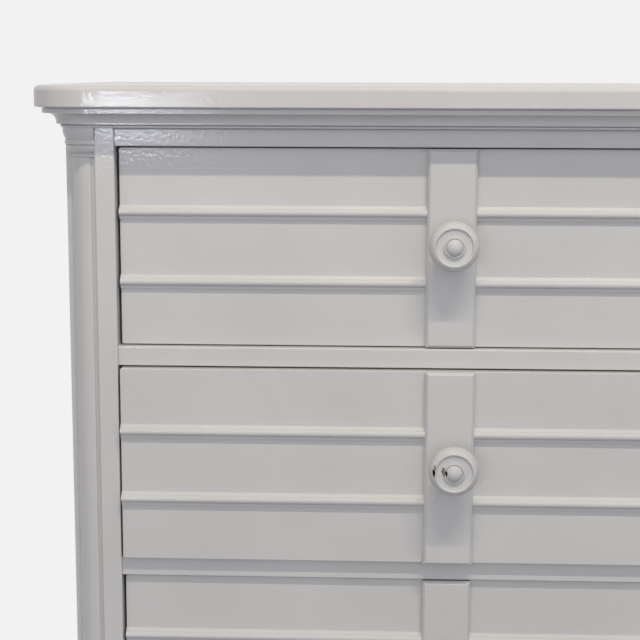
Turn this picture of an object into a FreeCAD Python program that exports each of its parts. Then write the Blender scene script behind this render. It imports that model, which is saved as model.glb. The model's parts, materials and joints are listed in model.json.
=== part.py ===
import FreeCAD, Part
import math
import os
import re
import Sketcher

# A six-drawer dresser of painted wood, two drawers wide and three high. Turned quarter columns
# fill its front corners, a coved cornice carries the top, and each drawer front has two beads,
# an upright strap and a turned knob.
# Sizes are in millimetres. Z is up, the drawers open towards -Y, and the origin is on the floor
# in the middle of the dresser's width and depth.

SIZES = {
    # Levels, from the floor up
    "plinth_height": 86,
    "base_thickness": 18,
    "rail_height": 20,
    "opening_height": 205,
    "top_rail_height": 18.5,
    "cornice_height": 20.5,
    "top_thickness": 22,
    # Widths, from the middle out
    "centre_stile_width": 44,
    "opening_width": 682,
    "stile_width": 20,
    "quirk_width": 5,
    "side_inset": 0.5,
    # Depths, from the stiles' faces back
    "stile_depth": 29,
    "rail_setback": 4,
    "rail_depth": 60,
    "case_depth": 450,
    "panel_thickness": 19,
    "back_thickness": 6,
    "edge_ease": 1,
    "rail_ease": 2,
    # Top panel
    "top_overhang": 30,
    "top_back_overhang": 6,
    "top_upper_round": 6,
    "top_lower_round": 1.5,
    # Cornice, its reach counted from the corner rings' face
    "cornice_reach": 22.4,
    "cornice_fillet": 4.8,
    "cornice_fillet_quirk": 1.2,
    "cornice_step": 5.9,
    "cornice_cove_reach": 8.2,
    "cornice_bead_quirk": 0.9,
    "cornice_bead": 2.6,
    "cornice_bead_reach": 3.2,
    "cornice_quirk_depth": 1.5,
    # Base moulding, on the same face
    "base_reach": 12,
    "base_fillet": 7,
    "base_step": 1.5,
    "base_cove_reach": 1.5,
    "base_cap": 3,
    "moulding_lap_share": 0.7,
    # Quarter columns
    "ring_radius": 30,
    "shaft_radius": 23.5,
    "quirk_depth": 1.5,
    "neck_flare": 2,
    "neck_height": 12.4,
    "upper_ring": 4.8,
    "ring_round": 1,
    "ring_groove": 0.8,
    "ring_groove_depth": 3.5,
    "lower_ring": 7.8,
    "lower_ring_step": 2.3,
    "lower_ring_taper": 3.2,
    "collar_groove": 1.4,
    "collar": 3,
    "collar_proud": 1.2,
    # Plinth
    "foot_width": 112,
    "arch_height": 48,
    "arch_round": 34,
    # Runners
    "runner_bearing": 25,
    "guide_height": 15,
    "stop_width": 60,
    "stop_depth": 12,
    "stop_height": 5,
    "stop_inset": 120,
    "stop_play": 0.3,
    # Drawer fronts
    "drawer_recess": 9,
    "front_thickness": 20,
    "front_gap_under": 1,
    "front_gap_over": 1.5,
    "front_gap_side": 2.5,
    "front_corner": 2.5,
    "front_ease": 1,
    "bead_inset": 65.5,
    "bead_proud": 6.5,
    "bead_radius": 4,
    "bead_fillet": 3,
    "bead_fillet_proud": 2.2,
    "strap_width": 50,
    "strap_thickness": 8.5,
    "strap_bevel": 2.7,
    # Drawer boxes
    "side_thickness": 12.7,
    "side_headroom": 19.5,
    "runner_play": 0.3,
    "box_depth": 390,
    "bottom_thickness": 5.5,
    "bottom_rise": 10,
    "groove_depth": 6,
    "groove_play": 1,
    "back_inset": 8,
    "back_drop": 8,
    "tail_length": 13,
    "tail_flare": 1.9,
    # Knobs
    "knob_rise": 6,
    "top_left_knob_aside": 1.3,
    "middle_left_knob_aside": 3.7,
    "knob_radius": 25.5,
    "knob_length": 41,
    "knob_collar_radius": 13,
    "knob_collar": 2.5,
    "knob_neck_radius": 10,
    "knob_rim_back": 23.5,
    "knob_rim_round": 2.5,
    "knob_lip_radius": 20,
    "knob_lip": 36.5,
    "knob_dish_radius": 11.7,
    "knob_dish": 34,
    "knob_ring_radius": 11,
    "knob_ring_width": 1.5,
    "knob_ring": 37.2,
    "knob_dome_share": 0.47,
    "spigot_radius": 5,
    "spigot_length": 14,
    "spigot_play": 0.3,
    # How far the two drawers that stand ajar are out
    "middle_left_pull": 17.5,
    "bottom_left_pull": 3.4,
    # How far every cut runs past what it cuts
    "overrun": 5,
}

DERIVED = {
    # Levels
    "base_top": "plinth_height + base_thickness",
    "rail_pitch": "opening_height + rail_height",
    "frame_top": "base_top + 3 * rail_pitch + top_rail_height",
    "cornice_top": "frame_top + cornice_height",
    "dresser_height": "cornice_top + top_thickness",
    # Half widths
    "opening_inner": "centre_stile_width / 2",
    "opening_outer": "opening_inner + opening_width",
    "stile_outer": "opening_outer + stile_width",
    "axis_x": "stile_outer + quirk_width",
    "ring_x": "axis_x + ring_radius",
    "side_x": "ring_x - side_inset",
    "panel_inner": "side_x - panel_thickness",
    "plinth_inner": "ring_x - panel_thickness",
    "column_x": "opening_inner + opening_width / 2",
    # Places in depth
    "top_front_reach": "ring_radius - stile_depth + top_overhang",
    "pulled_knob_reach": "middle_left_pull - drawer_recess - rail_setback + strap_thickness + knob_length",
    "front_reach": "max(top_front_reach; pulled_knob_reach)",
    "stile_face": "(front_reach - case_depth - top_back_overhang) / 2",
    "axis_y": "stile_face + stile_depth",
    "ring_face": "axis_y - ring_radius",
    "rail_face": "stile_face + rail_setback",
    "rail_back": "rail_face + rail_depth",
    "post_back": "rail_back",
    "case_back": "stile_face + case_depth",
    "back_face": "case_back - back_thickness",
    "drawer_home": "rail_face + drawer_recess",
    # Top, cornice and base moulding
    "top_x": "ring_x + top_overhang",
    "top_front": "ring_face - top_overhang",
    "top_back": "case_back + top_back_overhang",
    "top_corner": "ring_radius + top_overhang",
    "moulding_lap": "ring_radius * moulding_lap_share",
    # Drawers, seen from the middle of the front's lower edge
    "front_half": "opening_width / 2 - front_gap_side",
    "front_top": "opening_height - front_gap_over",
    "front_height": "front_top - front_gap_under",
    "knob_level": "front_gap_under + front_height / 2 + knob_rise",
    "box_inner": "front_half - side_thickness",
    "side_height": "opening_height - runner_play - side_headroom",
    "box_end": "front_thickness + box_depth",
    "bottom_level": "runner_play + bottom_rise",
    "groove_reach": "groove_depth - groove_play",
    "knob_dome_radius": "knob_ring_radius - knob_ring_width",
}

QUARTER_SHARE = math.sqrt(1 / 2)
BEAD_SHARE = 0.55
SWELL_SHARE = 0.8
SHOULDER_SHARE = 1.08
NECK_SHARE = 1.6
TAILS = 5
TAIL_SHARE = 0.3
ROWS = ("bottom", "middle", "top")
COLUMNS = {"left": -1, "right": 1}
PULLS = {"middle_left": "middle_left_pull", "bottom_left": "bottom_left_pull"}
KNOBS_ASIDE = {"top_left": "top_left_knob_aside", "middle_left": "middle_left_knob_aside"}
NEAR = 0.001

doc = FreeCAD.newDocument("Dresser")
sheet = doc.addObject("Spreadsheet::Sheet", "Sizes")
for line, (name, content) in enumerate((SIZES | DERIVED).items(), 1):
    sheet.set(f"A{line}", name)
    sheet.set(f"B{line}", f"={content}" if name in DERIVED else str(content))
    sheet.setAlias(f"B{line}", name)
doc.recompute()

subparts = []


def value(text):
    """The number that a sum of sizes comes to."""
    return float(sheet.evalExpression(text))


def rule(text):
    """The same sum, with every size read from the sheet."""
    known = SIZES.keys() | DERIVED.keys()
    return re.sub(r"[a-z]\w*", lambda word: f"Sizes.{word[0]}" if word[0] in known else word[0], text)


def keep(piece, place=("0", "0", "0")):
    """Sets a finished piece in its place and lists it as a sub-part."""
    for axis, text in zip("xyz", place):
        piece.setExpression(f"Placement.Base.{axis}", rule(text))
    subparts.append(piece)


def new_body(name):
    return doc.addObject("PartDesign::Body", name)


def plane(piece, role):
    """One of the planes or axes that the piece is drawn on."""
    return next(item for item in piece.Origin.OriginFeatures if item.Role == role)


def feature(piece, kind, name, **links):
    """Adds a feature to a body and makes it the body's result."""
    made = piece.newObject(f"PartDesign::{kind}", name)
    for link, target in links.items():
        setattr(made, link, target)
    piece.Tip = made
    return made


def block(piece, kind, name, x, y, z):
    """A box between two limits on each axis, added to a body or cut out of it."""
    made = feature(piece, f"{kind}Box", name)
    for side, axis, (low, high) in zip(("Length", "Width", "Height"), "xyz", (x, y, z)):
        made.setExpression(side, rule(f"({high}) - ({low})"))
        made.setExpression(f"Placement.Base.{axis}", rule(low))
    return made


def board(name, x, y, z):
    """A square-edged board between two limits on each axis."""
    piece = doc.addObject("Part::Box", name)
    for side, axis, (low, high) in zip(("Length", "Width", "Height"), "xyz", (x, y, z)):
        piece.setExpression(side, rule(f"({high}) - ({low})"))
    keep(piece, (x[0], y[0], z[0]))
    return piece


def mirrored(name, source):
    """The same piece on the other side of the dresser's middle."""
    piece = doc.addObject("Part::Mirroring", name)
    piece.Source = source
    piece.Normal = FreeCAD.Vector(1, 0, 0)
    subparts.append(piece)


def sketch(piece, name, role, offset="0"):
    """An empty drawing on one of the body's planes, or beside it."""
    drawing = piece.newObject("Sketcher::SketchObject", name)
    drawing.AttachmentSupport = [(plane(piece, role), "")]
    drawing.MapMode = "FlatFace"
    drawing.setExpression("AttachmentOffset.Base.z", rule(offset))
    return drawing


def stretch(start, end, bend):
    """One line or arc of an outline. A bend is the arc's radius as a share of its chord, and
    turns left when it is positive, right when it is negative."""
    if not bend:
        return Part.LineSegment(start, end)
    chord = end - start
    radius = abs(bend) * chord.Length
    rise = math.sqrt(radius ** 2 - chord.Length ** 2 / 4) * math.copysign(1, bend)
    normal = FreeCAD.Vector(-chord.y, chord.x, 0).normalize()
    centre = (start + end) / 2 + normal * rise
    first, last = (start, end) if bend > 0 else (end, start)
    angles = [math.atan2((point - centre).y, (point - centre).x) for point in (first, last)]
    return Part.ArcOfCircle(Part.Circle(centre, FreeCAD.Vector(0, 0, 1), radius), *angles)


def outline(drawing, corners, closed=True, flip=False):
    """Draws a line through corners given as (across, up) or (across, up, bend of the stretch
    that ends there), and ties every corner and radius to the sheet."""
    sign = "-" if flip else ""
    corners = [(f"{sign}({across})", up, *[-bend if flip else bend for bend in bends])
               for across, up, *bends in corners]
    points = [FreeCAD.Vector(value(corner[0]), value(corner[1]), 0) for corner in corners]
    ends = []
    for index in range(0 if closed else 1, len(corners)):
        bend = corners[index][2] if len(corners[index]) > 2 else 0
        line = drawing.addGeometry(stretch(points[index - 1], points[index], bend))
        ends.append((index, line, *((2, 1) if bend < 0 else (1, 2))))
        if bend:
            across, up = (f"(({corners[index][axis]}) - ({corners[index - 1][axis]}))" for axis in (0, 1))
            radius = f"sqrt({across} ^ 2 + {up} ^ 2) * {abs(bend)}"
            tie(drawing, ("Radius", line), radius)
    for index, line, first, last in ends:
        for kind, text in zip(("DistanceX", "DistanceY"), corners[index]):
            tie(drawing, (kind, -1, 1, line, last), text)
    if not closed:
        for kind, text in zip(("DistanceX", "DistanceY"), corners[0]):
            tie(drawing, (kind, -1, 1, ends[0][1], ends[0][2]), text)
    for here, after in zip(ends, ends[1:] + (ends[:1] if closed else [])):
        drawing.addConstraint(Sketcher.Constraint("Coincident", here[1], here[3], after[1], after[2]))


def tie(drawing, parts, text):
    """One dimension of a drawing, read from the sheet."""
    number = drawing.addConstraint(Sketcher.Constraint(*parts, value(text)))
    drawing.setExpression(f"Constraints[{number}]", rule(text))


def edges(made, wanted):
    """The names of those edges of a feature that pass a test on their box."""
    doc.recompute()
    return [f"Edge{number}" for number, edge in enumerate(made.Shape.Edges, 1) if wanted(edge.BoundBox)]


def dressed(piece, kind, name, base, wanted, size):
    """Rounds or bevels the chosen edges of a body's last feature."""
    made = feature(piece, kind, name, Base=(base, edges(base, wanted)))
    made.setExpression("Radius" if kind == "Fillet" else "Size", rule(size))
    return made


def pad(piece, name, drawing, length, reverse=False):
    """Carries a drawing straight out from its plane."""
    made = feature(piece, "Pad", name, Profile=drawing, Reversed=reverse)
    made.setExpression("Length", rule(length))
    return made


def at(number, text):
    """Whether a place is where a sum of sizes says."""
    return abs(number - value(text)) < NEAR


def top_panel():
    """The top: one board with turned front corners and eased edges, thinner below than above."""
    piece = new_body("top_panel")
    slab = block(piece, "Additive", "Slab", ("-top_x", "top_x"), ("top_front", "top_back"),
                 ("cornice_top", "dresser_height"))
    slab = dressed(piece, "Fillet", "Corners", slab,
                   lambda box: at(box.YMax, "top_front") and at(box.ZLength, "top_thickness"), "top_corner")
    slab = dressed(piece, "Fillet", "UpperEdge", slab,
                   lambda box: at(box.ZMin, "dresser_height") and not at(box.YMin, "top_back"),
                   "top_upper_round")
    dressed(piece, "Fillet", "LowerEdge", slab,
            lambda box: at(box.ZMax, "cornice_top") and not at(box.YMin, "top_back"), "top_lower_round")
    keep(piece)


def moulded_board(name, low, high, section):
    """A board under the top or over the plinth. Its moulding runs round the front and both ends
    and turns the corners about the columns' axes."""
    piece = new_body(name)
    block(piece, "Additive", "Field", ("moulding_lap - ring_x", "ring_x - moulding_lap"),
          ("ring_face + moulding_lap", "case_back"), (low, high))
    path = sketch(piece, "Run", "XY_Plane", low)
    outline(path, [("ring_x", "case_back"), ("ring_x", "axis_y"),
                   ("axis_x", "ring_face", -QUARTER_SHARE), ("-axis_x", "ring_face"),
                   ("-ring_x", "axis_y", -QUARTER_SHARE), ("-ring_x", "case_back")], closed=False)
    profile = sketch(piece, "Section", "XZ_Plane", "-case_back")
    outline(profile, [(f"ring_x + {reach}", level, *bend) for reach, level, *bend in section])
    feature(piece, "AdditivePipe", "Moulding", Profile=profile, Spine=path)
    keep(piece)


def sub_top():
    """The cornice: a bead at the foot, a cove, a step, and a fillet that a narrow quirk parts
    from the top."""
    bead_top = "frame_top + cornice_bead"
    cove_foot = f"{bead_top} + cornice_bead_quirk"
    fillet_top = "cornice_top - cornice_fillet_quirk"
    fillet_foot = f"{fillet_top} - cornice_fillet"
    quirk_reach = "cornice_bead_reach - cornice_quirk_depth"
    shadow_reach = "cornice_reach - cornice_quirk_depth"
    moulded_board("sub_top", "frame_top", "cornice_top",
                  [("(-moulding_lap)", "cornice_top"), ("(-moulding_lap)", "frame_top"),
                   ("cornice_bead_reach", "frame_top"), ("cornice_bead_reach", bead_top, BEAD_SHARE),
                   (quirk_reach, bead_top), (quirk_reach, cove_foot),
                   ("cornice_cove_reach", cove_foot),
                   ("cornice_reach - cornice_step", fillet_foot, -QUARTER_SHARE),
                   ("cornice_reach", fillet_foot), ("cornice_reach", fillet_top),
                   (shadow_reach, fillet_top), (shadow_reach, "cornice_top")])


def base_panel():
    """The base board: a fillet and a cove up to a narrow cap."""
    fillet_top = "plinth_height + base_fillet"
    moulded_board("base_panel", "plinth_height", "base_top",
                  [("(-moulding_lap)", "base_top"), ("(-moulding_lap)", "plinth_height"),
                   ("base_reach", "plinth_height"), ("base_reach", fillet_top),
                   ("base_reach - base_step", fillet_top),
                   ("base_cove_reach", "base_top - base_cap", -QUARTER_SHARE),
                   ("base_cove_reach", "base_top")])


def column_face(between=()):
    """The outline from the foot to the head of a corner column, as reach from its axis and level:
    rings, the shaft or a face set back from it, then the rings again."""
    steps = [("ring_radius + neck_flare", "0"),
             ("ring_radius - ring_round", "neck_height", NECK_SHARE),
             ("ring_radius", "ring_round", QUARTER_SHARE),
             ("ring_radius", "upper_ring - 2 * ring_round"),
             ("ring_radius - ring_round", "ring_round", QUARTER_SHARE),
             ("ring_radius - ring_groove_depth", "0"),
             ("ring_radius - ring_groove_depth", "ring_groove"),
             ("ring_radius - lower_ring_step", "0"),
             ("ring_radius - lower_ring_step - lower_ring_taper", "lower_ring", SWELL_SHARE),
             ("shaft_radius", "0"),
             ("shaft_radius", "collar_groove"),
             ("shaft_radius + collar_proud", "collar / 2", QUARTER_SHARE),
             ("shaft_radius", "collar / 2", QUARTER_SHARE),
             *between]
    foot = []
    level = "base_top"
    for reach, rise, *bend in steps:
        level = f"{level} + {rise}"
        foot.append((reach, level, *bend))
    head = [(reach, f"base_top + frame_top - ({level})") for reach, level, *bend in foot][::-1]
    bends = [bend for reach, level, *bend in foot][::-1]
    head[1:] = [(*corner, *bend) for corner, bend in zip(head[1:], bends)]
    return foot + head


def column():
    """A quarter column: the turned quarter, and the straight strip by which it meets the stile."""
    piece = new_body("right_column")
    turned = sketch(piece, "TurnedSection", "XZ_Plane")
    outline(turned, [("0", "base_top"), *column_face(), ("0", "frame_top")])
    feature(piece, "Revolution", "Turning", Profile=turned, ReferenceAxis=(turned, ["V_Axis"]),
            Angle=90, Reversed=True)
    strip = sketch(piece, "StripSection", "YZ_Plane")
    quirk = column_face([("shaft_radius - quirk_depth", "0")])
    outline(strip, [("0", "base_top"), *quirk, ("0", "frame_top")], flip=True)
    pad(piece, "Strip", strip, "quirk_width", reverse=True)
    keep(piece, ("axis_x", "axis_y", "0"))
    mirrored("left_column", piece)


def eased_rail(name, x, z, repeats=()):
    """A rail across the front, its upper front edge rounded over and the lower one eased, and
    copies of it where repeated."""
    piece = new_body(name)
    section = sketch(piece, "Section", "YZ_Plane", x[0])
    low, high = z
    outline(section, [("rail_back", low), ("rail_back", high), ("rail_face + rail_ease", high),
                      ("rail_face", f"{high} - rail_ease", QUARTER_SHARE),
                      ("rail_face", f"{low} + edge_ease"),
                      ("rail_face + edge_ease", low, QUARTER_SHARE)])
    rail = pad(piece, "Rail", section, f"({x[1]}) - ({x[0]})")
    if repeats:
        pattern(piece, [rail], repeats)
    keep(piece)


def pattern(piece, originals, steps):
    """Repeats features along axes, as (axis, spacing, count), then mirrors them about the middle."""
    made = piece.newObject("PartDesign::MultiTransform", "Pattern")
    made.Originals = originals
    moves = []
    for axis, spacing, count in steps:
        row = piece.newObject("PartDesign::LinearPattern", f"Along{axis}")
        row.Direction = (plane(piece, f"{axis}_Axis"), [""])
        row.Mode = "Spacing"
        row.Occurrences = count
        row.setExpression("Offset", rule(spacing))
        moves.append(row)
    mirror = piece.newObject("PartDesign::Mirrored", "OtherSide")
    mirror.MirrorPlane = (plane(piece, "YZ_Plane"), [""])
    made.Transformations = moves + [mirror]
    piece.Tip = made


def front_frame():
    """The stiles, posts and rails that frame the drawers."""
    stile = new_body("right_stile")
    bar = block(stile, "Additive", "Bar", ("opening_outer", "stile_outer"), ("stile_face", "axis_y"),
                ("base_top", "frame_top"))
    dressed(stile, "Fillet", "Eased", bar,
            lambda box: at(box.YMax, "stile_face") and not at(box.ZLength, "0"), "edge_ease")
    keep(stile)
    mirrored("left_stile", stile)
    middle = new_body("centre_stile")
    bar = block(middle, "Additive", "Bar", ("-opening_inner", "opening_inner"),
                ("stile_face", "rail_back"), ("base_top + rail_height", "frame_top - top_rail_height"))
    dressed(middle, "Fillet", "Eased", bar,
            lambda box: at(box.YMax, "stile_face") and not at(box.ZLength, "0"), "edge_ease")
    keep(middle)
    post = board("right_post", ("opening_outer", "side_x"), ("axis_y", "post_back"),
                 ("base_top", "frame_top"))
    mirrored("left_post", post)
    eased_rail("bottom_rail", ("-opening_outer", "opening_outer"), ("base_top", "base_top + rail_height"))
    eased_rail("top_rail", ("-opening_outer", "opening_outer"), ("frame_top - top_rail_height", "frame_top"))
    eased_rail("drawer_rails", ("opening_inner", "opening_outer"),
               ("base_top + rail_pitch", "base_top + rail_pitch + rail_height"),
               [("Z", "rail_pitch", len(ROWS) - 1)])


def carcass():
    """The end panels, the back, and the partition between the two columns of drawers."""
    side = board("right_side_panel", ("panel_inner", "side_x"), ("post_back", "case_back"),
                 ("base_top", "frame_top"))
    mirrored("left_side_panel", side)
    board("back_panel", ("-panel_inner", "panel_inner"), ("back_face", "case_back"),
          ("base_top", "frame_top"))
    board("centre_partition", ("-panel_thickness / 2", "panel_thickness / 2"), ("rail_back", "back_face"),
          ("base_top", "frame_top"))


def runners():
    """What the drawers slide on: a runner at each side of each opening, which is also the kicker
    over the drawer below, kickers over the top drawers, a guide on each runner, and two stops
    behind each drawer front."""
    piece = new_body("drawer_runners")
    spans = {"Inner": ("panel_thickness / 2", "opening_inner + runner_bearing"),
             "Outer": ("opening_outer - runner_bearing", "panel_inner")}
    levels = {"Runner": ("base_top", "base_top + rail_height"),
              "Kicker": ("frame_top - top_rail_height", "frame_top")}
    for kind, repeats in (("Runner", [("Z", "rail_pitch", len(ROWS))]), ("Kicker", [])):
        bars = [block(piece, "Additive", f"{name}{kind}", span, ("rail_back", "back_face"), levels[kind])
                for name, span in spans.items()]
        pattern(piece, bars, repeats)
    keep(piece)
    piece = new_body("drawer_guides")
    floor = "base_top + rail_height"
    spans = {"Inner": ("panel_thickness / 2", "opening_inner"), "Outer": ("opening_outer", "panel_inner")}
    strips = [block(piece, "Additive", name, span, ("rail_back", "back_face"),
                    (floor, f"{floor} + guide_height")) for name, span in spans.items()]
    pattern(piece, strips, [("Z", "rail_pitch", len(ROWS))])
    keep(piece)
    piece = new_body("drawer_stops")
    behind = "drawer_home + front_thickness + stop_play"
    first = "opening_inner + stop_inset"
    stop = block(piece, "Additive", "Stop", (first, f"{first} + stop_width"),
                 (behind, f"{behind} + stop_depth"), (floor, f"{floor} + stop_height"))
    pattern(piece, [stop], [("X", "opening_width - 2 * stop_inset - stop_width", 2),
                            ("Z", "rail_pitch", len(ROWS))])
    keep(piece)


def arch(piece, name, role, offset, half, middle="0"):
    """Cuts the low arch between two feet out of a plinth board, down to the floor."""
    cut = sketch(piece, f"{name}Outline", role, offset)
    low = "-overrun"
    outline(cut, [(f"{middle} - ({half})", low), (f"{middle} + ({half})", low),
                  (f"{middle} + ({half})", "arch_height - arch_round"),
                  (f"{middle} + ({half}) - arch_round", "arch_height", QUARTER_SHARE),
                  (f"{middle} - ({half}) + arch_round", "arch_height"),
                  (f"{middle} - ({half})", "arch_height - arch_round", QUARTER_SHARE)])
    feature(piece, "Pocket", name, Profile=cut, Type="ThroughAll", Midplane=True)


def plinth():
    """Four plinth boards on bracket feet. The front one is as thick as the corner rings and is
    turned at its ends like the columns above it."""
    piece = new_body("plinth_front")
    plan = sketch(piece, "Plan", "XY_Plane")
    outline(plan, [("ring_x", "axis_y", QUARTER_SHARE), ("-ring_x", "axis_y"),
                   ("-axis_x", "ring_face", QUARTER_SHARE), ("axis_x", "ring_face")])
    pad(piece, "Board", plan, "plinth_height")
    arch(piece, "Arch", "XZ_Plane", "ring_radius / 2 - axis_y", "ring_x - foot_width")
    keep(piece)
    piece = new_body("plinth_right")
    block(piece, "Additive", "Board", ("plinth_inner", "ring_x"), ("axis_y", "case_back"),
          ("0", "plinth_height"))
    arch(piece, "Arch", "YZ_Plane", "plinth_inner + panel_thickness / 2",
         "(case_back - ring_face) / 2 - foot_width", "(case_back + ring_face) / 2")
    keep(piece)
    mirrored("plinth_left", piece)
    piece = new_body("plinth_back")
    block(piece, "Additive", "Board", ("-plinth_inner", "plinth_inner"),
          ("case_back - panel_thickness", "case_back"), ("0", "plinth_height"))
    arch(piece, "Arch", "XZ_Plane", "panel_thickness / 2 - case_back", "ring_x - foot_width")
    keep(piece)


def bead_outline(level):
    """The section of one bead: a half round between two flat fillets, rooted in the board."""
    round_root = "-(bead_proud - bead_radius)"
    low, high = (f"{level} {sign} bead_radius" for sign in "-+")
    return [("front_ease", f"{low} - bead_fillet"), ("-bead_fillet_proud", f"{low} - bead_fillet"),
            ("-bead_fillet_proud", low), (round_root, low),
            ("-bead_proud", level, -QUARTER_SHARE), (round_root, high, -QUARTER_SHARE),
            ("-bead_fillet_proud", high), ("-bead_fillet_proud", f"{high} + bead_fillet"),
            ("front_ease", f"{high} + bead_fillet")]


def tails(piece, name):
    """Draws the dovetails of a drawer side as seen from its face: they start where the front's
    back is, and widen towards their ends inside it."""
    drawing = sketch(piece, name, "YZ_Plane", "box_inner")
    end = "front_thickness - tail_length"
    root_half = f"side_height / {TAILS} * {TAIL_SHARE}"
    end_half = f"({root_half} + tail_flare)"
    for tail in range(TAILS):
        middle = f"runner_play + side_height / {TAILS} * {tail + 1 / 2}"
        outline(drawing, [("front_thickness", f"{middle} - {root_half}"), (end, f"{middle} - {end_half}"),
                          (end, f"{middle} + {end_half}"), ("front_thickness", f"{middle} + {root_half}")])
    return drawing


def drawer_front(name, place):
    """The front board with eased edges and its two beads, which stop at the strap. Behind, it is
    grooved for the bottom and socketed for the sides' dovetails; in front, it is bored for the
    knob's spigot."""
    piece = new_body(f"{name}_drawer_front")
    panel = block(piece, "Additive", "Panel", ("-front_half", "front_half"), ("0", "front_thickness"),
                  ("front_gap_under", "front_top"))
    panel = dressed(piece, "Fillet", "Corners", panel,
                    lambda box: at(box.XLength, "0") and at(box.ZLength, "0"), "front_corner")
    dressed(piece, "Fillet", "Eased", panel, lambda box: at(box.YMax, "0"), "front_ease")
    section = sketch(piece, "BeadSections", "YZ_Plane", "strap_width / 2")
    for level in ("front_gap_under + bead_inset", "front_top - bead_inset"):
        outline(section, bead_outline(level))
    beads = pad(piece, "Beads", section, "front_half - strap_width / 2")
    feature(piece, "Mirrored", "OtherBeads", Originals=[beads],
            MirrorPlane=(plane(piece, "YZ_Plane"), [""]))
    block(piece, "Subtractive", "Groove", ("-box_inner - groove_depth", "box_inner + groove_depth"),
          ("front_thickness - groove_depth", "front_thickness + overrun"),
          ("bottom_level", "bottom_level + bottom_thickness"))
    sockets = feature(piece, "Pocket", "Sockets", Profile=tails(piece, "SocketOutlines"), Reversed=True)
    sockets.setExpression("Length", rule("side_thickness + overrun"))
    feature(piece, "Mirrored", "OtherSockets", Originals=[sockets],
            MirrorPlane=(plane(piece, "YZ_Plane"), [""]))
    bore(piece, name, "spigot_length - strap_thickness + groove_play")
    keep(piece, place)


def bore(piece, name, depth):
    """The hole for the knob's spigot, from in front of the piece to a depth behind the face."""
    made = feature(piece, "SubtractiveCylinder", "Bore")
    made.setExpression("Radius", rule("spigot_radius + spigot_play"))
    made.setExpression("Height", rule(f"strap_thickness + overrun + {depth}"))
    made.Placement = FreeCAD.Placement(FreeCAD.Vector(), FreeCAD.Rotation(FreeCAD.Vector(1, 0, 0), -90))
    made.setExpression("Placement.Base.x", rule(KNOBS_ASIDE.get(name, "0")))
    made.setExpression("Placement.Base.y", rule("-strap_thickness - overrun"))
    made.setExpression("Placement.Base.z", rule("knob_level"))


def drawer_strap(name, place):
    """The upright strap on the drawer front, bevelled on all four edges."""
    piece = new_body(f"{name}_drawer_strap")
    bar = block(piece, "Additive", "Bar", ("-strap_width / 2", "strap_width / 2"),
                ("-strap_thickness", "0"), ("front_gap_under", "front_top"))
    dressed(piece, "Chamfer", "Bevels", bar, lambda box: at(box.YMax, "-strap_thickness"), "strap_bevel")
    bore(piece, name, "overrun")
    keep(piece, place)


def knob(name, place):
    """A turned knob: spigot, collar, hollow neck, sloping shoulder, and a dished face with a ring
    and a dome."""
    piece = new_body(f"{name}_knob")
    rise = SIZES["knob_dome_share"]
    dome_edge = "knob_dome_radius * knob_dome_share - knob_length"
    turned = sketch(piece, "TurnedSection", "XY_Plane")
    outline(turned, [("0", "spigot_length"), ("spigot_radius", "spigot_length"), ("spigot_radius", "0"),
                     ("knob_collar_radius", "0"), ("knob_collar_radius", "-knob_collar"),
                     ("knob_neck_radius", "-2 * knob_collar", QUARTER_SHARE),
                     ("knob_radius - knob_rim_round", "-knob_rim_back", QUARTER_SHARE),
                     ("knob_radius", "-knob_rim_back - knob_rim_round", -QUARTER_SHARE),
                     ("knob_lip_radius", "-knob_lip", -SHOULDER_SHARE),
                     ("knob_dish_radius", "-knob_dish", SWELL_SHARE),
                     ("knob_ring_radius", "-knob_dish"), ("knob_ring_radius", "-knob_ring"),
                     ("knob_dome_radius", "-knob_ring", -SWELL_SHARE), ("knob_dome_radius", dome_edge),
                     ("0", "-knob_length", -math.hypot(1, rise) / (2 * rise))])
    feature(piece, "Revolution", "Turning", Profile=turned, ReferenceAxis=(turned, ["V_Axis"]))
    x, y, z = place
    keep(piece, (f"{x} + {KNOBS_ASIDE.get(name, '0')}", f"{y} - strap_thickness", f"{z} + knob_level"))


def drawer_box(name, place):
    """The box behind a drawer front: two sides, dovetailed into the front and grooved, a back,
    and a bottom that slides in under the back."""
    piece = new_body(f"{name}_drawer_sides")
    groove_top = "bottom_level + bottom_thickness"
    side = block(piece, "Additive", "Side", ("box_inner", "front_half"), ("front_thickness", "box_end"),
                 ("runner_play", "runner_play + side_height"))
    joint = pad(piece, "Tails", tails(piece, "TailOutlines"), "side_thickness")
    groove = block(piece, "Subtractive", "Groove", ("box_inner - overrun", "box_inner + groove_depth"),
                   ("front_thickness - groove_depth", "box_end + overrun"), ("bottom_level", groove_top))
    feature(piece, "Mirrored", "OtherSide", Originals=[side, joint, groove],
            MirrorPlane=(plane(piece, "YZ_Plane"), [""]))
    keep(piece, place)
    x, y, z = place
    board(f"{name}_drawer_back", (f"{x} - box_inner", f"{x} + box_inner"),
          (f"{y} + box_end - back_inset - side_thickness", f"{y} + box_end - back_inset"),
          (f"{z} + {groove_top}", f"{z} + runner_play + side_height - back_drop"))
    board(f"{name}_drawer_bottom",
          (f"{x} - box_inner - groove_reach", f"{x} + box_inner + groove_reach"),
          (f"{y} + front_thickness - groove_reach", f"{y} + box_end - groove_play"),
          (f"{z} + bottom_level", f"{z} + {groove_top}"))


def drawer(row, side):
    """One drawer, where it stands in the photograph."""
    name = f"{ROWS[row]}_{side}"
    place = (f"{COLUMNS[side]} * column_x", f"drawer_home - {PULLS.get(name, '0')}",
             f"base_top + rail_height + {row} * rail_pitch")
    drawer_front(name, place)
    drawer_strap(name, place)
    knob(name, place)
    drawer_box(name, place)


top_panel()
sub_top()
base_panel()
column()
front_frame()
carcass()
runners()
plinth()
for side in COLUMNS:
    for row in range(len(ROWS)):
        drawer(row, side)

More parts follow.
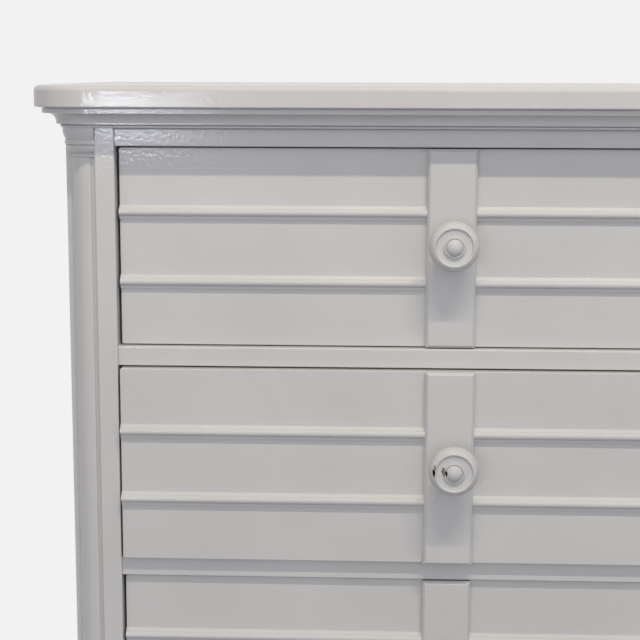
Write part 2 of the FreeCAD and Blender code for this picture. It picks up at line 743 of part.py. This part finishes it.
doc.recompute()
failed = [item.Name for item in doc.Objects if {"Invalid", "Error"} & set(item.State)]
failed += [piece.Label for piece in subparts if piece.Shape.isNull() or not piece.Shape.isValid()]
if failed:
    raise RuntimeError("not built: " + ", ".join(failed))

os.makedirs("parts", exist_ok=True)
for piece in subparts:
    piece.Shape.exportStep(f"parts/{piece.Label}.step")
    print(piece.Label, len(piece.Shape.Solids), round(piece.Shape.Volume))
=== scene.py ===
import bpy
import json
import math
from mathutils import Matrix, Vector, noise

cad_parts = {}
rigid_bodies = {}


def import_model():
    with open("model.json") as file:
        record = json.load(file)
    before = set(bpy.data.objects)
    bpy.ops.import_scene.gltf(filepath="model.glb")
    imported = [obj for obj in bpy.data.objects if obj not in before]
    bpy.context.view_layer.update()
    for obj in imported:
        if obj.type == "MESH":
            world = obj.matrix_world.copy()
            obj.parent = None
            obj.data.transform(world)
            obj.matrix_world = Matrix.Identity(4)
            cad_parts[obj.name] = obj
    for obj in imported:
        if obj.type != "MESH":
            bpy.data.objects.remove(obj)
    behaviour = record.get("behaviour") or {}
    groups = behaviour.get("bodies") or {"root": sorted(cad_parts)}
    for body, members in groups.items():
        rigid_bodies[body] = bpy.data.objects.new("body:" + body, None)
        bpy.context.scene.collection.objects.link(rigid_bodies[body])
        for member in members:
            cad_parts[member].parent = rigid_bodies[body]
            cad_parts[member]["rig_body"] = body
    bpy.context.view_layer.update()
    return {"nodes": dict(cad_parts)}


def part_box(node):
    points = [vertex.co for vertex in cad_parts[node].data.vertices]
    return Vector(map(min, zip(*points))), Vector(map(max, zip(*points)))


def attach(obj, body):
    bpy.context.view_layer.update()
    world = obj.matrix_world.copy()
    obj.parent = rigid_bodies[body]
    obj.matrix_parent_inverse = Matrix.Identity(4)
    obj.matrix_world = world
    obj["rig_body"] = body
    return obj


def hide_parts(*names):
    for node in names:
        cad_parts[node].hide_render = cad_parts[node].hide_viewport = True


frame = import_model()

# The view. The camera stands in front of the dresser's left half, level with its top, and looks
# a little left and down, so that the frame holds the top left corner as the photograph does.
LENS = 86.1
EYE = (-0.4356, -1.7394, 0.8537)
TURN_LEFT = math.radians(2.246)
TILT_DOWN = math.radians(9.217)
ROLL = math.radians(0.155)

camera = bpy.data.objects.new("Camera", bpy.data.cameras.new("Camera"))
camera.data.lens = LENS
camera.matrix_world = (Matrix.Translation(EYE) @ Matrix.Rotation(TURN_LEFT, 4, "Z")
                       @ Matrix.Rotation(math.pi / 2 - TILT_DOWN, 4, "X")
                       @ Matrix.Rotation(ROLL, 4, "Z"))
bpy.context.collection.objects.link(camera)
bpy.context.scene.camera = camera
bpy.context.scene.view_settings.view_transform = "Standard"


# The room. A long strip light hangs under the ceiling before the dresser: its shadows are crisp
# under level edges and soft beside upright ones. The panes of a window behind the camera glint in
# the corner's paint. The walls light what faces them, and are white to the camera.
BACKDROP_WHITE = (0.888, 0.888, 0.888, 1)
# Each wall and the ceiling: the axis it lies across, on which side, and how pale it is.
WALLS = (("Y", -1, (1.23, 1.21, 1.28)), ("Y", 1, (0.80, 0.80, 0.80)),
         ("X", 1, (0.36, 0.42, 0.62)), ("X", -1, (0.27, 0.24, 0.25)), ("Z", 1, (0.12, 0.10, 0.08)))
WALL_SPREAD = 2
LAMP_AT = Vector((0.00, -1.73, 3.20))
LAMP_SIZE = (1.6, 0.05)
LAMP_TINT = (1.0, 0.93, 0.76)
# Two lamps hang in one place: their names, their powers, and whether the gloss shows them.
LAMPS = (("Lamp", 43.5, False), ("Lamp_glint", 8, True))
WINDOW_BEHIND = -2.5
WINDOW_TINT = (0.84, 0.90, 1.0)
WINDOW_GLOW = 83
# Each column and row of panes: where it starts and ends, and how bright it is.
WINDOW_COLUMNS = ((-1.163, -1.09, 1.3), (-1.075, -1.005, 1.2),
                  (-0.99, -0.93, 0.65), (-0.915, -0.86, 0.35))
WINDOW_ROWS = ((0.777, 0.83, 1.2), (0.722, 0.765, 1.5), (0.69, 0.71, 1.1), (0.668, 0.68, 0.5))
DRESSER_MIDDLE = Vector((-0.45, -0.2, 0.55))


def plugged(links, socket, source):
    """Joins a socket to another one, or sets it to a plain value."""
    if isinstance(source, bpy.types.NodeSocket):
        links.new(source, socket)
    else:
        socket.default_value = source


def chained(nodes, links, start, steps, kind="ShaderNodeMath"):
    """A value passed through one sum after another."""
    for operation, operand in steps:
        step = nodes.new(kind)
        step.operation = operation
        links.new(start, step.inputs[0])
        if operand is not None:
            plugged(links, step.inputs[1], operand)
        start = step.outputs[0]
    return start


def mixed(nodes, links, share, first, second):
    """A colour between two others."""
    mix = nodes.new("ShaderNodeMix")
    mix.data_type = "RGBA"
    for socket, source in (("Factor", share), ("A", first), ("B", second)):
        plugged(links, mix.inputs[socket], source)
    return mix.outputs["Result"]


def camera_rays(nodes, links):
    """Whether a ray comes from the camera, straight, by a reflection or through glass."""
    rays = nodes.new("ShaderNodeLightPath").outputs
    return chained(nodes, links, rays["Is Camera Ray"],
                   (("MAXIMUM", rays["Is Glossy Ray"]), ("MAXIMUM", rays["Is Transmission Ray"])))


def area_light(name, place, size, power, tint, aim):
    """A flat rectangular light that faces a place."""
    light = bpy.data.objects.new(name, bpy.data.lights.new(name, "AREA"))
    light.data.shape = "RECTANGLE"
    light.data.size, light.data.size_y = size
    light.data.energy = power
    light.data.color = tint
    light.location = place
    light.rotation_euler = (aim - place).to_track_quat("-Z", "Y").to_euler()
    bpy.context.collection.objects.link(light)
    return light


world = bpy.data.worlds.new("Room")
bpy.context.scene.world = world
world.use_nodes = True
nodes, links = world.node_tree.nodes, world.node_tree.links
heading = nodes.new("ShaderNodeSeparateXYZ")
links.new(nodes.new("ShaderNodeTexCoord").outputs["Generated"], heading.inputs["Vector"])
walls = (0, 0, 0)
for axis, side, pale in WALLS:
    wall = nodes.new("ShaderNodeVectorMath")
    wall.operation = "MULTIPLY_ADD"
    facing = chained(nodes, links, heading.outputs[axis],
                     (("MULTIPLY", side), ("MAXIMUM", 0), ("POWER", WALL_SPREAD)))
    for socket, source in zip(wall.inputs, (facing, pale, walls)):
        plugged(links, socket, source)
    walls = wall.outputs["Vector"]
links.new(mixed(nodes, links, camera_rays(nodes, links), walls, BACKDROP_WHITE),
          nodes["Background"].inputs["Color"])

for name, power, in_gloss in LAMPS:
    lamp = area_light(name, LAMP_AT, LAMP_SIZE, power, LAMP_TINT,
                      Vector((LAMP_AT.x, DRESSER_MIDDLE.y, DRESSER_MIDDLE.z)))
    lamp.visible_glossy = in_gloss
for left, right, across in WINDOW_COLUMNS:
    for low, high, up in WINDOW_ROWS:
        size = (right - left, high - low)
        area_light("Window_pane", Vector(((left + right) / 2, WINDOW_BEHIND, (low + high) / 2)),
                   size, WINDOW_GLOW * across * up * size[0] * size[1], WINDOW_TINT, DRESSER_MIDDLE)


# The floor is pale and plain. It shows the dresser's shadow, and beyond that turns into the white
# of the backdrop, and it sends up only as much light as a dull floor would.
FLOOR_SIZE = 12
FLOOR_SEEN = (0.95, 0.95, 0.97, 1)
FLOOR_BOUNCE = (0.28, 0.29, 0.32, 1)
SHADOW_MIDDLE = Vector((0.3, -0.15, 0))
SHADOW_HALF = Vector((1.0, 0.95, 1))
FADE = 0.2


def new_finish(name):
    """An empty finish, and its nodes and links."""
    made = bpy.data.materials.new(name)
    made.use_nodes = True
    return made, made.node_tree.nodes, made.node_tree.links


bpy.ops.mesh.primitive_plane_add(size=FLOOR_SIZE)
floor = bpy.context.object
floor.name = "Floor"
ground, nodes, links = new_finish("Floor")
floor.data.materials.append(ground)
beyond = chained(nodes, links, nodes.new("ShaderNodeTexCoord").outputs["Object"],
                 (("SUBTRACT", SHADOW_MIDDLE), ("ABSOLUTE", None), ("SUBTRACT", SHADOW_HALF),
                  ("MAXIMUM", Vector())), "ShaderNodeVectorMath")
distance = nodes.new("ShaderNodeVectorMath")
distance.operation = "LENGTH"
links.new(beyond, distance.inputs[0])
fade = nodes.new("ShaderNodeMapRange")
fade.interpolation_type = "SMOOTHSTEP"
fade.inputs["From Max"].default_value = FADE
links.new(distance.outputs["Value"], fade.inputs["Value"])
seen = camera_rays(nodes, links)
boards = nodes.new("ShaderNodeBsdfDiffuse")
links.new(mixed(nodes, links, seen, FLOOR_BOUNCE, FLOOR_SEEN), boards.inputs["Color"])
backdrop = nodes.new("ShaderNodeEmission")
backdrop.inputs["Color"].default_value = BACKDROP_WHITE
blend = nodes.new("ShaderNodeMixShader")
links.new(chained(nodes, links, fade.outputs["Result"], (("MULTIPLY", seen),)),
          blend.inputs["Fac"])
links.new(boards.outputs[0], blend.inputs[1])
links.new(backdrop.outputs[0], blend.inputs[2])
links.new(blend.outputs[0], nodes["Material Output"].inputs["Surface"])


# The carcass boards that stay bare: the softwood partition between the two columns of drawers, and
# the plywood back. They are planed, and glued and nailed in place before the paint goes on, so
# nothing but the wood's own grain shows inside.
SOFTWOOD = ((0.70, 0.53, 0.35), (0.50, 0.34, 0.19))
PLYWOOD = ((0.74, 0.60, 0.43), (0.60, 0.45, 0.29))
# The heart of the log, for boards along each axis, and how far the log leans from that axis.
HEART = {"X": (0, 0.35, 0.11), "Y": (0.41, 0, 0.09), "Z": (0.37, 0.23, 0)}
LOG_LEAN = (0.05, 0.035, 0.02)
# How far apart the growth rings are. The wave texture's repeat is RING_REPEAT at a scale of 1.
SOFTWOOD_RING = 0.0045
PLYWOOD_RING = 0.03
RING_REPEAT = math.pi / 10
RING_WAVES = {"Distortion": 5, "Detail": 2, "Detail Scale": 0.12}
RING_SHARPNESS = 2
RING_DARKNESS = 0.5
FIBRES = {"Scale": 1100, "Detail": 3}
FIBRE_STRETCH = 45
FIBRE_DARKNESS = 0.45
FIBRE_STRENGTH = 0.35
FIBRE_DEPTH = 0.0002
PATCHES = {"Scale": 14}
PATCH_BRIGHTNESS = (0.8, 1.2)
PLANED_ROUGHNESS = (0.55, 0.75)


def laid(nodes, links, kind, place, settings):
    """A pattern laid through a solid piece."""
    pattern = nodes.new(kind)
    for name, value in settings.items():
        pattern.inputs[name].default_value = value
    links.new(place, pattern.inputs["Vector"])
    return pattern


def between(nodes, links, share, low, high):
    """A number that goes from low to high as the share goes from 0 to 1."""
    return chained(nodes, links, share, (("MULTIPLY", high - low), ("ADD", low)))


def uneven(nodes, links, height, strength, depth):
    """The direction of a surface that is a little uneven."""
    bump = nodes.new("ShaderNodeBump")
    bump.inputs["Strength"].default_value = strength
    bump.inputs["Distance"].default_value = depth
    links.new(height, bump.inputs["Height"])
    return bump.outputs["Normal"]


def timber(name, tones, along, ring):
    """Planed wood: growth rings round a far heart, and fine fibres along them."""
    made, nodes, links = new_finish(name)
    shader = nodes["Principled BSDF"]
    pale, dark = [(*tone, 1) for tone in tones]
    place = nodes.new("ShaderNodeTexCoord").outputs["Object"]
    log = laid(nodes, links, "ShaderNodeMapping", place,
               {"Location": HEART[along], "Rotation": LOG_LEAN})
    rings = laid(nodes, links, "ShaderNodeTexWave", log.outputs["Vector"],
                 {"Scale": RING_REPEAT / ring, **RING_WAVES})
    rings.wave_type = "RINGS"
    rings.rings_direction = along
    rings.wave_profile = "SAW"
    grain = laid(nodes, links, "ShaderNodeMapping", place,
                 {"Scale": [1 / FIBRE_STRETCH if axis == along else 1 for axis in "XYZ"]})
    fibres, patches = [laid(nodes, links, "ShaderNodeTexNoise", grain.outputs["Vector"],
                            settings).outputs["Fac"] for settings in (FIBRES, PATCHES)]
    ring_share = chained(nodes, links, rings.outputs["Fac"],
                         (("POWER", RING_SHARPNESS), ("MULTIPLY", RING_DARKNESS)))
    fibre_share = chained(nodes, links, fibres, (("MULTIPLY", FIBRE_DARKNESS),))
    ringed = mixed(nodes, links, ring_share, pale, dark)
    fibred = mixed(nodes, links, fibre_share, ringed, dark)
    shade = nodes.new("ShaderNodeHueSaturation")
    links.new(fibred, shade.inputs["Color"])
    links.new(between(nodes, links, patches, *PATCH_BRIGHTNESS), shade.inputs["Value"])
    links.new(shade.outputs["Color"], shader.inputs["Base Color"])
    links.new(uneven(nodes, links, fibres, FIBRE_STRENGTH, FIBRE_DEPTH), shader.inputs["Normal"])
    links.new(between(nodes, links, fibres, *PLANED_ROUGHNESS), shader.inputs["Roughness"])
    return made


def bare(node, wood):
    """Gives a piece that was never painted its wood."""
    for place in frame["nodes"][node].material_slots:
        place.material = wood


softwood = {along: timber(f"Softwood_along_{along}", SOFTWOOD, along, SOFTWOOD_RING)
            for along in "XYZ"}
bare("centre_partition", softwood["Y"])
bare("back_panel", timber("Plywood_upright", PLYWOOD, "Z", PLYWOOD_RING))


# The case. Stiles, rails, posts, side panels, the turned quarter columns, the moulded boards above
# and below, and the plinth are wood, glued up and then sprayed all over with pale grey enamel. It
# softens every edge and ripples a little on the faces. Inside, it stops just behind the front.
PAINT = (0.60, 0.60, 0.59)
ENAMEL = {"Roughness": 0.36, "Coat Weight": 0.3, "Coat Roughness": 0.06}
# The paint's faint clouds: where in the pattern each tone lies, and how bright it is.
CLOUDS = {"Scale": 9, "Detail": 4}
CLOUD_TONES = ((0.3, 0.965), (0.7, 1.02))
PEEL = {"Scale": 260, "Detail": 0}
PEEL_STRENGTH = 0.25
PEEL_DEPTH = 0.0003
WELD = 0.00001
FLAT_WITHIN = math.radians(0.1)
EASED_FROM = math.radians(35)
EASED_FACETS = 2
SHARP_FROM = math.radians(28)
CASE_EDGE = 0.0002
NEAR = 0.0005
PAINT_DEPTH = 0.028
PAINT_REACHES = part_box("left_stile")[0].y + PAINT_DEPTH
INSIDE_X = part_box("left_side_panel")[1].x
INSIDE_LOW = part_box("base_panel")[1].z
INSIDE_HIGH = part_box("sub_top")[0].z
# Where a face that is painted in front and bare behind is divided: a point and a direction.
CASE_CUTS = (((0, PAINT_REACHES, 0), (0, 1, 0)), ((INSIDE_X, 0, 0), (1, 0, 0)),
             ((-INSIDE_X, 0, 0), (1, 0, 0)))
CASE_PIECES = {"X": ("sub_top", "base_panel", "top_rail", "bottom_rail", "drawer_rails",
                     "plinth_front", "plinth_back"),
               "Y": ("plinth_left", "plinth_right"),
               "Z": ("left_stile", "right_stile", "centre_stile", "left_post", "right_post",
                     "left_column", "right_column", "left_side_panel", "right_side_panel")}


def painted(name, colour=PAINT):
    """Pale enamel over wood: orange peel, faint clouds and a soft sheen."""
    made, nodes, links = new_finish(name)
    shader = nodes["Principled BSDF"]
    place = nodes.new("ShaderNodeTexCoord").outputs["Object"]
    clouds = laid(nodes, links, "ShaderNodeTexNoise", place, CLOUDS)
    tone = nodes.new("ShaderNodeValToRGB")
    for stop, (position, brightness) in zip(tone.color_ramp.elements, CLOUD_TONES):
        stop.position = position
        stop.color = [part * brightness for part in colour] + [1]
    links.new(clouds.outputs["Fac"], tone.inputs["Fac"])
    links.new(tone.outputs["Color"], shader.inputs["Base Color"])
    peel = laid(nodes, links, "ShaderNodeTexNoise", place, PEEL)
    ripple = uneven(nodes, links, peel.outputs["Fac"], PEEL_STRENGTH, PEEL_DEPTH)
    links.new(ripple, shader.inputs["Normal"])
    links.new(ripple, shader.inputs["Coat Normal"])
    for socket, value in ENAMEL.items():
        shader.inputs[socket].default_value = value
    return made


def on_the_bench(piece):
    """Makes one piece the only one that the tools work on."""
    bpy.ops.object.select_all(action="DESELECT")
    piece.select_set(True)
    bpy.context.view_layer.objects.active = piece


def finished(node, edge, paint, cuts=(), unpainted=None, wood=None, planed=None):
    """Welds a copy of a CAD piece, planes and rounds its edges a little, paints it, and leaves
    bare wood where the paint didn't reach."""
    cad = frame["nodes"][node]
    piece = bpy.data.objects.new(f"{node}_finished", cad.data.copy())
    bpy.context.collection.objects.link(piece)
    if planed:
        for corner in piece.data.vertices:
            corner.co = planed(corner.co)
    on_the_bench(piece)
    bpy.ops.mesh.customdata_custom_splitnormals_clear()
    bpy.ops.object.mode_set(mode="EDIT")
    bpy.ops.mesh.select_all(action="SELECT")
    bpy.ops.mesh.remove_doubles(threshold=WELD)
    bpy.ops.mesh.dissolve_limited(angle_limit=FLAT_WITHIN)
    bpy.ops.object.mode_set(mode="OBJECT")
    if edge:
        rounds = piece.modifiers.new("Rounds", "BEVEL")
        rounds.width = edge
        rounds.segments = EASED_FACETS
        rounds.angle_limit = EASED_FROM
        bpy.ops.object.modifier_apply(modifier="Rounds")
    bpy.ops.object.mode_set(mode="EDIT")
    for through, across in cuts:
        bpy.ops.mesh.select_all(action="SELECT")
        bpy.ops.mesh.bisect(plane_co=through, plane_no=across)
    bpy.ops.object.mode_set(mode="OBJECT")
    bpy.ops.object.shade_smooth_by_angle(angle=SHARP_FROM)
    flats = piece.modifiers.new("Flats", "WEIGHTED_NORMAL")
    flats.keep_sharp = True
    bpy.ops.object.modifier_apply(modifier="Flats")
    piece.data.materials.clear()
    piece.data.materials.append(paint)
    if wood:
        piece.data.materials.append(wood)
        for face in piece.data.polygons:
            face.material_index = int(unpainted(face.center))
    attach(piece, cad["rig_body"])
    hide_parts(node)


def inside_case(place):
    """Whether a face of the case is one that the paint didn't reach."""
    return (place.y > PAINT_REACHES and abs(place.x) < abs(INSIDE_X) + NEAR
            and INSIDE_LOW - NEAR < place.z < INSIDE_HIGH + NEAR)


case_paint = painted("Carcass_paint")
for along, pieces in CASE_PIECES.items():
    for node in pieces:
        finished(node, CASE_EDGE, case_paint, CASE_CUTS, inside_case, softwood[along])


# The top. One glued-up board, its front corners rounded in plan and its edge eased above and below,
# so it needs no more rounding. It lies on the cornice board, screwed from underneath, and has the
# case's paint. Its colour is made a shade paler and warmer than the case's: painted light, standing
# for the warm lamp light that falls on its upward face.
TOP_PAINT_WITH_PAINTED_LAMP_LIGHT = (0.612, 0.604, 0.592)
TOP_EDGE = 0

finished("top_panel", TOP_EDGE, painted("Top_paint_with_painted_lamp_light", TOP_PAINT_WITH_PAINTED_LAMP_LIGHT))


# The runners, guides and stops. Planed softwood strips, glued and nailed to the rails, the posts
# and the partition, on which the drawers slide. They are left bare.
for node in ("drawer_runners", "drawer_guides"):
    bare(node, softwood["Y"])
bare("drawer_stops", softwood["X"])


# The drawer boxes. The sides and backs are bare softwood, the sides dovetailed into the front's
# ends, and the bottoms are thin plywood that slides into grooves from behind.
plywood = timber("Plywood_level", PLYWOOD, "X", PLYWOOD_RING)
drawers = [node[:-len("_front")] for node in frame["nodes"] if node.endswith("_drawer_front")]
for drawer in drawers:
    bare(f"{drawer}_sides", softwood["Y"])
    bare(f"{drawer}_back", softwood["X"])
    bare(f"{drawer}_bottom", plywood)


# The drawer fronts. Each is one board with two beads run across it and an upright bevelled strap
# glued over its middle. Face and edges are painted; behind that the board is bare, a darker wood
# than the box, so that its ends show the dovetails.
FRONT_WOOD = ((0.56, 0.42, 0.27), (0.38, 0.26, 0.15))
FRONT_EDGE = 0.0003
FRONT_PAINT_DEPTH = 0.012
# The beads, from the front's lower and upper edge, and the fillet over each: how far up it ends,
# and how far it stands in front of the face there before and after it is planed.
BEAD_INSET = 0.0655
FILLET_TOP = 0.007
FILLET_PROUD = 0.0022
FILLET_LEFT = 0.0003

front_paint = painted("Front_paint")
front_wood = timber("Front_wood_along_X", FRONT_WOOD, "X", SOFTWOOD_RING)
for drawer in drawers:
    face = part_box(f"{drawer}_strap")[1].y
    stop = face + FRONT_PAINT_DEPTH
    low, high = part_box(f"{drawer}_front")
    tops = [level + FILLET_TOP for level in (low.z + BEAD_INSET, high.z - BEAD_INSET)]

    def sloped(place):
        """Planes the fillet over each bead to a slope."""
        if (abs(place.y - (face - FILLET_PROUD)) < NEAR / 2
                and min(abs(place.z - top) for top in tops) < NEAR):
            return Vector((place.x, face - FILLET_LEFT, place.z))
        return place

    finished(f"{drawer}_front", FRONT_EDGE, front_paint,
             cuts=(((0, stop, 0), (0, 1, 0)),), unpainted=lambda place: place.y > stop,
             wood=front_wood, planed=sloped)
    finished(f"{drawer}_strap", FRONT_EDGE, front_paint)


# The knobs. Each is turned from one piece of hardwood, its spigot glued through strap and front: a
# collar, a hollow neck, a sloping shoulder, and a narrow lip round a dish with a ring and a dome in
# it. They are painted before they go in. One has been knocked: its paint is off down to dark wood.
KNOB_SIDES = 96
SPIGOT_RADIUS = 0.005
SPIGOT_LENGTH = 0.014
# Each step of the turning: radius, reach in front of the strap, bow of the arc to it, facets. The
# bow is the arc's height over its chord, and QUARTER is that of a quarter of a circle.
QUARTER = math.tan(math.radians(22.5)) / 2
KNOB_TURNING = ((0.005, 0, 0, 1), (0.0126, 0, 0, 1), (0.013, 0.0004, QUARTER, 5),
                (0.013, 0.0021, 0, 1), (0.0126, 0.0025, QUARTER, 5), (0.01, 0.005, -QUARTER, 6),
                (0.023, 0.0235, -QUARTER, 12), (0.0255, 0.026, QUARTER, 8),
                (0.0199, 0.0361, 0.123, 10), (0.0187, 0.0361, 0.25, 8),
                (0.0176, 0.0350, -0.06, 3), (0.0171, 0.0347, -0.15, 4),
                (0.0106, 0.0342, -0.03, 6), (0.0104, 0.0363, 0, 2), (0.0089, 0.0363, 0.4, 8),
                (0.0086, 0.0358, 0, 1), (0.0084, 0.0364, 0, 1), (0, 0.041, 0.125, 14))
KNOCKED_NODE = "middle_left_knob"
KNOCKED_WOODS = {"dark": (0.012, 0.009, 0.008), "brown": (0.30, 0.22, 0.18)}
KNOCKED_FIBRES = {"Scale": 1500}
KNOCKED_CONTRAST = 0.5
KNOCKED_SHEEN = {"Roughness": 0.9, "Specular IOR Level": 0}
# Each chip in the paint: its wood, its place across and up from the knob's middle, and half its
# width and height. The faces from CHIPPED_LOW to CHIPPED_HIGH are made fine enough for them. Only
# faces whose normal points towards the front, at least by FACING_FORWARD, lose their paint.
CHIPS = (("dark", (-0.0204, 0.0002), (0.0012, 0.0042)),
         ("dark", (-0.0194, 0.0055), (0.0005, 0.0034)),
         ("dark", (-0.0079, 0.0004), (0.0011, 0.0025)),
         ("brown", (-0.0110, 0.0024), (0.0019, 0.0030)),
         ("brown", (-0.0104, -0.0021), (0.0009, 0.0018)))
CHIPPED_LOW = (-0.0235, -0.0060)
CHIPPED_HIGH = (-0.0050, 0.0090)
CHIP_FINENESS = 4
CHIP_RAGGEDNESS = 0.6
CHIP_RAG_SCALE = 900
FACING_FORWARD = -0.1


def bowed(start, end, bow, facets):
    """Points on the way from one point of a turned outline to the next, on a line or an arc."""
    run, rise = end[0] - start[0], end[1] - start[1]
    half = 2 * math.atan(2 * bow)
    points = []
    for step in range(1, facets + 1):
        along, aside = step / facets, 0
        if bow:
            turn = half * (2 * along - 1)
            along = (math.sin(turn) / math.sin(half) + 1) / 2
            aside = (math.cos(turn) - math.cos(half)) / math.sin(half) / 2
        points.append((start[0] + run * along + rise * aside,
                       start[1] + rise * along - run * aside))
    return points


def knocked_wood(name, tone):
    """Dull wood that shows where the paint has come off."""
    made, nodes, links = new_finish(name)
    shader = nodes["Principled BSDF"]
    fibres = laid(nodes, links, "ShaderNodeTexNoise",
                  nodes.new("ShaderNodeTexCoord").outputs["Object"], KNOCKED_FIBRES)
    links.new(mixed(nodes, links, fibres.outputs["Fac"], (*tone, 1),
                    [part * KNOCKED_CONTRAST for part in tone] + [1]), shader.inputs["Base Color"])
    for socket, value in KNOCKED_SHEEN.items():
        shader.inputs[socket].default_value = value
    return made


def chipped(piece, middle):
    """Knocks the paint off the front of a knob in small ragged places."""
    for shade, tone in KNOCKED_WOODS.items():
        piece.data.materials.append(knocked_wood(f"Knocked_wood_{shade}", tone))
    on_the_bench(piece)
    bpy.ops.object.mode_set(mode="EDIT")
    bpy.ops.mesh.select_all(action="DESELECT")
    bpy.ops.object.mode_set(mode="OBJECT")
    for face in piece.data.polygons:
        place = (face.center - middle).xz
        face.select = face.normal.y < FACING_FORWARD and all(
            low < part < high for low, part, high in zip(CHIPPED_LOW, place, CHIPPED_HIGH))
    bpy.ops.object.mode_set(mode="EDIT")
    bpy.ops.mesh.subdivide(number_cuts=CHIP_FINENESS)
    bpy.ops.object.mode_set(mode="OBJECT")
    for face in piece.data.polygons:
        if face.normal.y >= FACING_FORWARD:
            continue
        place = (face.center - middle).xz
        ragged = CHIP_RAGGEDNESS * noise.noise(face.center * CHIP_RAG_SCALE)
        for shade, centre, half in CHIPS:
            across = Vector([(part - mid) / reach
                             for part, mid, reach in zip(place, centre, half)]).length
            if across + ragged < 1:
                face.material_index = 1 + list(KNOCKED_WOODS).index(shade)
                break


bpy.ops.object.select_all(action="DESELECT")
bpy.ops.mesh.primitive_circle_add(vertices=KNOB_SIDES, radius=SPIGOT_RADIUS, fill_type="NGON",
                                  location=(0, SPIGOT_LENGTH, 0), rotation=(math.pi / 2, 0, 0))
turned = bpy.context.object
bpy.ops.object.transform_apply()
bpy.ops.object.mode_set(mode="EDIT")
cut = (SPIGOT_RADIUS, -SPIGOT_LENGTH)
for radius, reach, bow, facets in KNOB_TURNING:
    for ring in bowed(cut, (radius, reach), bow, facets):
        bpy.ops.mesh.extrude_region_move(
            TRANSFORM_OT_translate={"value": (0, cut[1] - ring[1], 0)})
        scale = ring[0] / cut[0]
        bpy.ops.transform.resize(value=(scale, 1, scale), center_override=(0, 0, 0))
        cut = ring
bpy.ops.mesh.merge(type="CENTER")
bpy.ops.mesh.select_all(action="SELECT")
bpy.ops.mesh.normals_make_consistent(inside=False)
bpy.ops.object.mode_set(mode="OBJECT")
bpy.ops.object.shade_smooth_by_angle(angle=SHARP_FROM)

knob_paint = painted("Knob_paint")
for drawer in drawers:
    node = drawer.replace("_drawer", "_knob")
    low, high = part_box(node)
    middle = Vector(((low.x + high.x) / 2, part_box(f"{drawer}_strap")[0].y, (low.z + high.z) / 2))
    piece = bpy.data.objects.new(f"{node}_turned", turned.data.copy())
    bpy.context.collection.objects.link(piece)
    piece.data.transform(Matrix.Translation(middle))
    piece.data.materials.append(knob_paint)
    if node == KNOCKED_NODE:
        chipped(piece, middle)
    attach(piece, frame["nodes"][node]["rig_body"])
    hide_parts(node)
bpy.data.objects.remove(turned)
